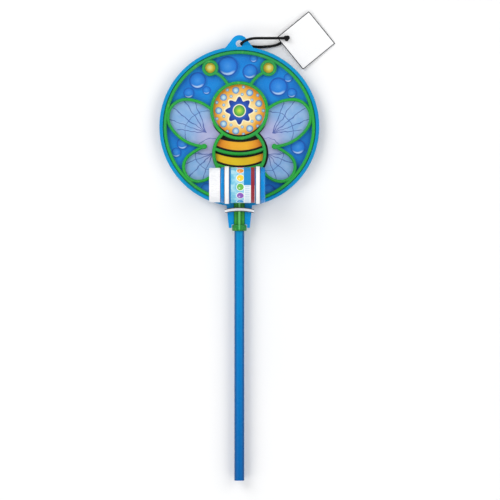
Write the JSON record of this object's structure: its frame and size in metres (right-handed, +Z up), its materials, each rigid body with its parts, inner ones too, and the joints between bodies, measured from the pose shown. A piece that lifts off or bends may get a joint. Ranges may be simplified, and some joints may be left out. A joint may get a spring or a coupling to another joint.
{
  "type": "bubble wand",
  "caption": "Looped bubble wand on a hollow rod, laid in a shallow dip tray with a printed card, a strapped-on bottle of bubble solution and a hang tag.",
  "frame": {"origin": "middle of the dip tray's underside, on the table", "axes": "+X to the right across the tray, +Y along the handle from the rod towards the hang tab, +Z up from the table"},
  "size_m": [0.1979, 0.5285, 0.0534],
  "materials": {
    "tray_plastic": "glossy thermoformed sheet",
    "wand_plastic": "clear green, moulded",
    "rod_plastic": "glossy extruded tube",
    "card_print": "coated printed card",
    "label_print": "coated printed paper",
    "clip_plastic": "satin white",
    "strap_film": "white film band",
    "bottle_plastic": "glossy blown",
    "cap_plastic": "satin white",
    "liner_foam": "soft closed foam",
    "solution": "clear liquid",
    "cord_textile": "braided",
    "tag_card": "smooth white card"
  },
  "bodies": {
    "tray": {"dip_tray": "tray_plastic"},
    "wand": {"wand_frame": "wand_plastic", "handle_rod": "rod_plastic", "printed_card": "card_print", "strap_cap_end": "strap_film", "strap_base_end": "strap_film"},
    "clip": {"neck_clip": "clip_plastic"},
    "bottle": {"bottle": "bottle_plastic", "bottle_label": "label_print", "bubble_solution": "solution"},
    "liner": {"cap_liner": "liner_foam"},
    "cap": {"screw_cap": "cap_plastic"},
    "tag": {"tag_cord": "cord_textile", "cord_knot": "cord_textile", "hang_tag": "tag_card"}
  },
  "joints": [
    {"name": "wand_lift", "type": "slide", "parent": "tray", "child": "wand", "axis": [0, 0, 1], "range_m": [0, 0.06]},
    {"name": "clip_pull", "type": "slide", "parent": "wand", "child": "clip", "axis": [0, 0, 1], "range_m": [0, 0.03]},
    {"name": "bottle_slide", "type": "slide", "parent": "wand", "child": "bottle", "axis": [-1, 0, 0], "range_m": [0, 0.055]},
    {"name": "liner_lift", "type": "slide", "parent": "bottle", "child": "liner", "axis": [-1, 0, 0], "range_m": [0, 0.0061]},
    {"name": "cap_turn", "type": "hinge", "parent": "liner", "child": "cap", "pos_m": [-0.0325, -0.0663, 0.0325], "axis": [-1, 0, 0], "range_deg": [0, 720]},
    {"name": "tag_swing", "type": "hinge", "parent": "tray", "child": "tag", "pos_m": [0, 0.0932, 0], "axis": [0, 0, 1], "range_deg": [0, 170]}
  ],
  "couplings": [
    {"joint": "liner_lift", "follows": "cap_turn", "m_per_rad": 0.00047746}
  ]
}
